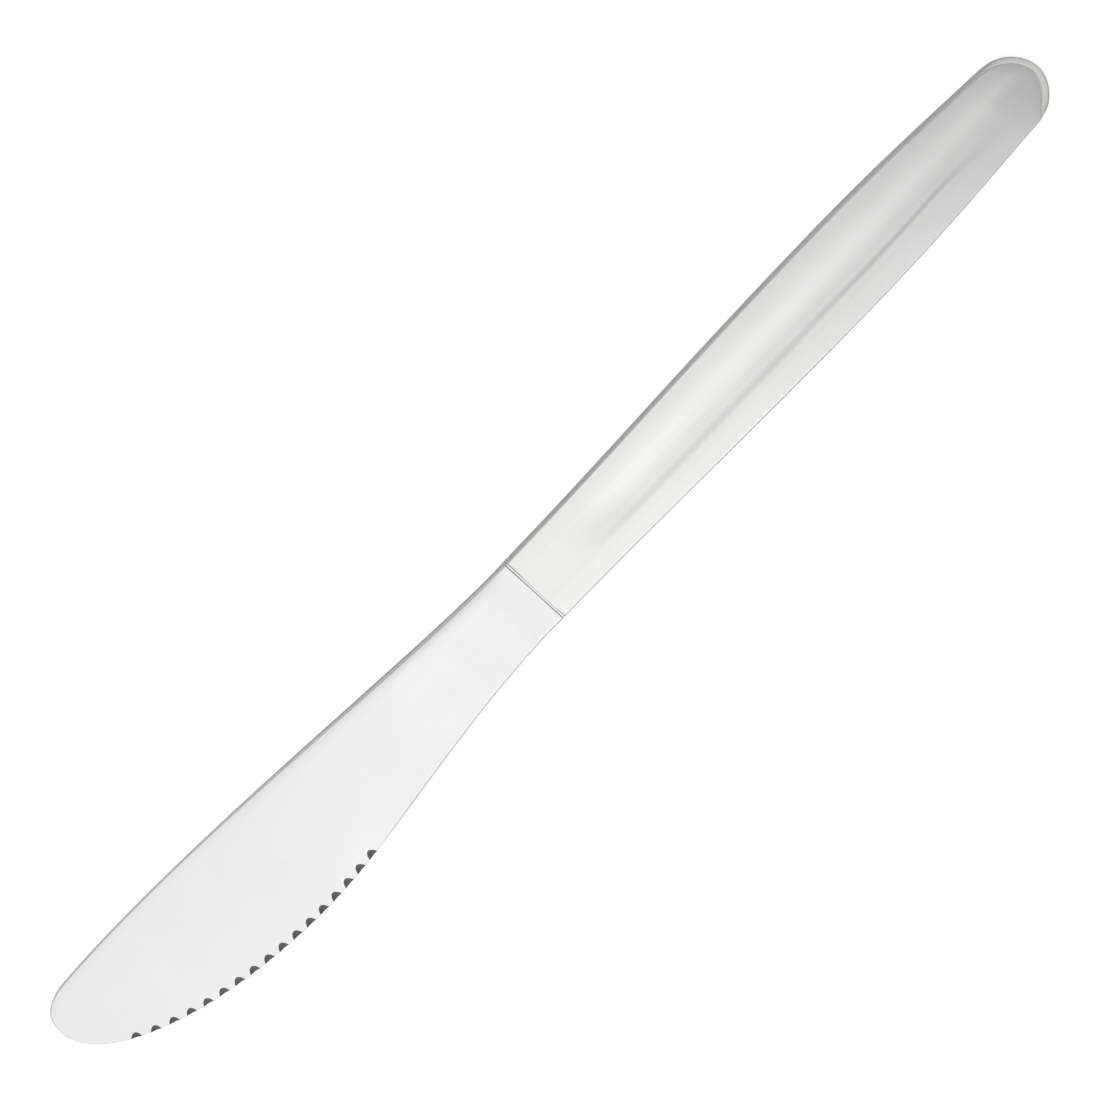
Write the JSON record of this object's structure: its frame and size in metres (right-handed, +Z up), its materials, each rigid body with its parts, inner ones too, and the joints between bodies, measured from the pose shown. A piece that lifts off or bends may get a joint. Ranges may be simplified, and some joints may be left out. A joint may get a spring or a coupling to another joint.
{
  "type": "dessert knife",
  "caption": "Dessert knife with a rounded, finely scalloped steel blade, a swelling neck and a hollow fluted steel handle, for cutting cake, fruit and pastry at the table.",
  "frame": {"origin": "under the middle of the knife's bounding box, on the surface that it lies on", "axes": "+X from the blade's tip to the handle's end, +Y from the cutting edge to the spine, +Z up from the underside to the scalloped face"},
  "size_m": [0.1952, 0.02, 0.0044],
  "materials": {
    "blade_steel": "polished stainless steel with fine lengthwise polishing lines",
    "handle_steel": "polished stainless steel pressing",
    "solder": "filed flush, slightly warm",
    "cement": "matt cast filler, hidden inside the handle"
  },
  "bodies": {
    "root": {"blade": "blade_steel", "neck_solder": "solder", "handle_front_shell": "handle_steel", "handle_back_shell": "handle_steel", "tang_cement": "cement"}
  },
  "joints": []
}
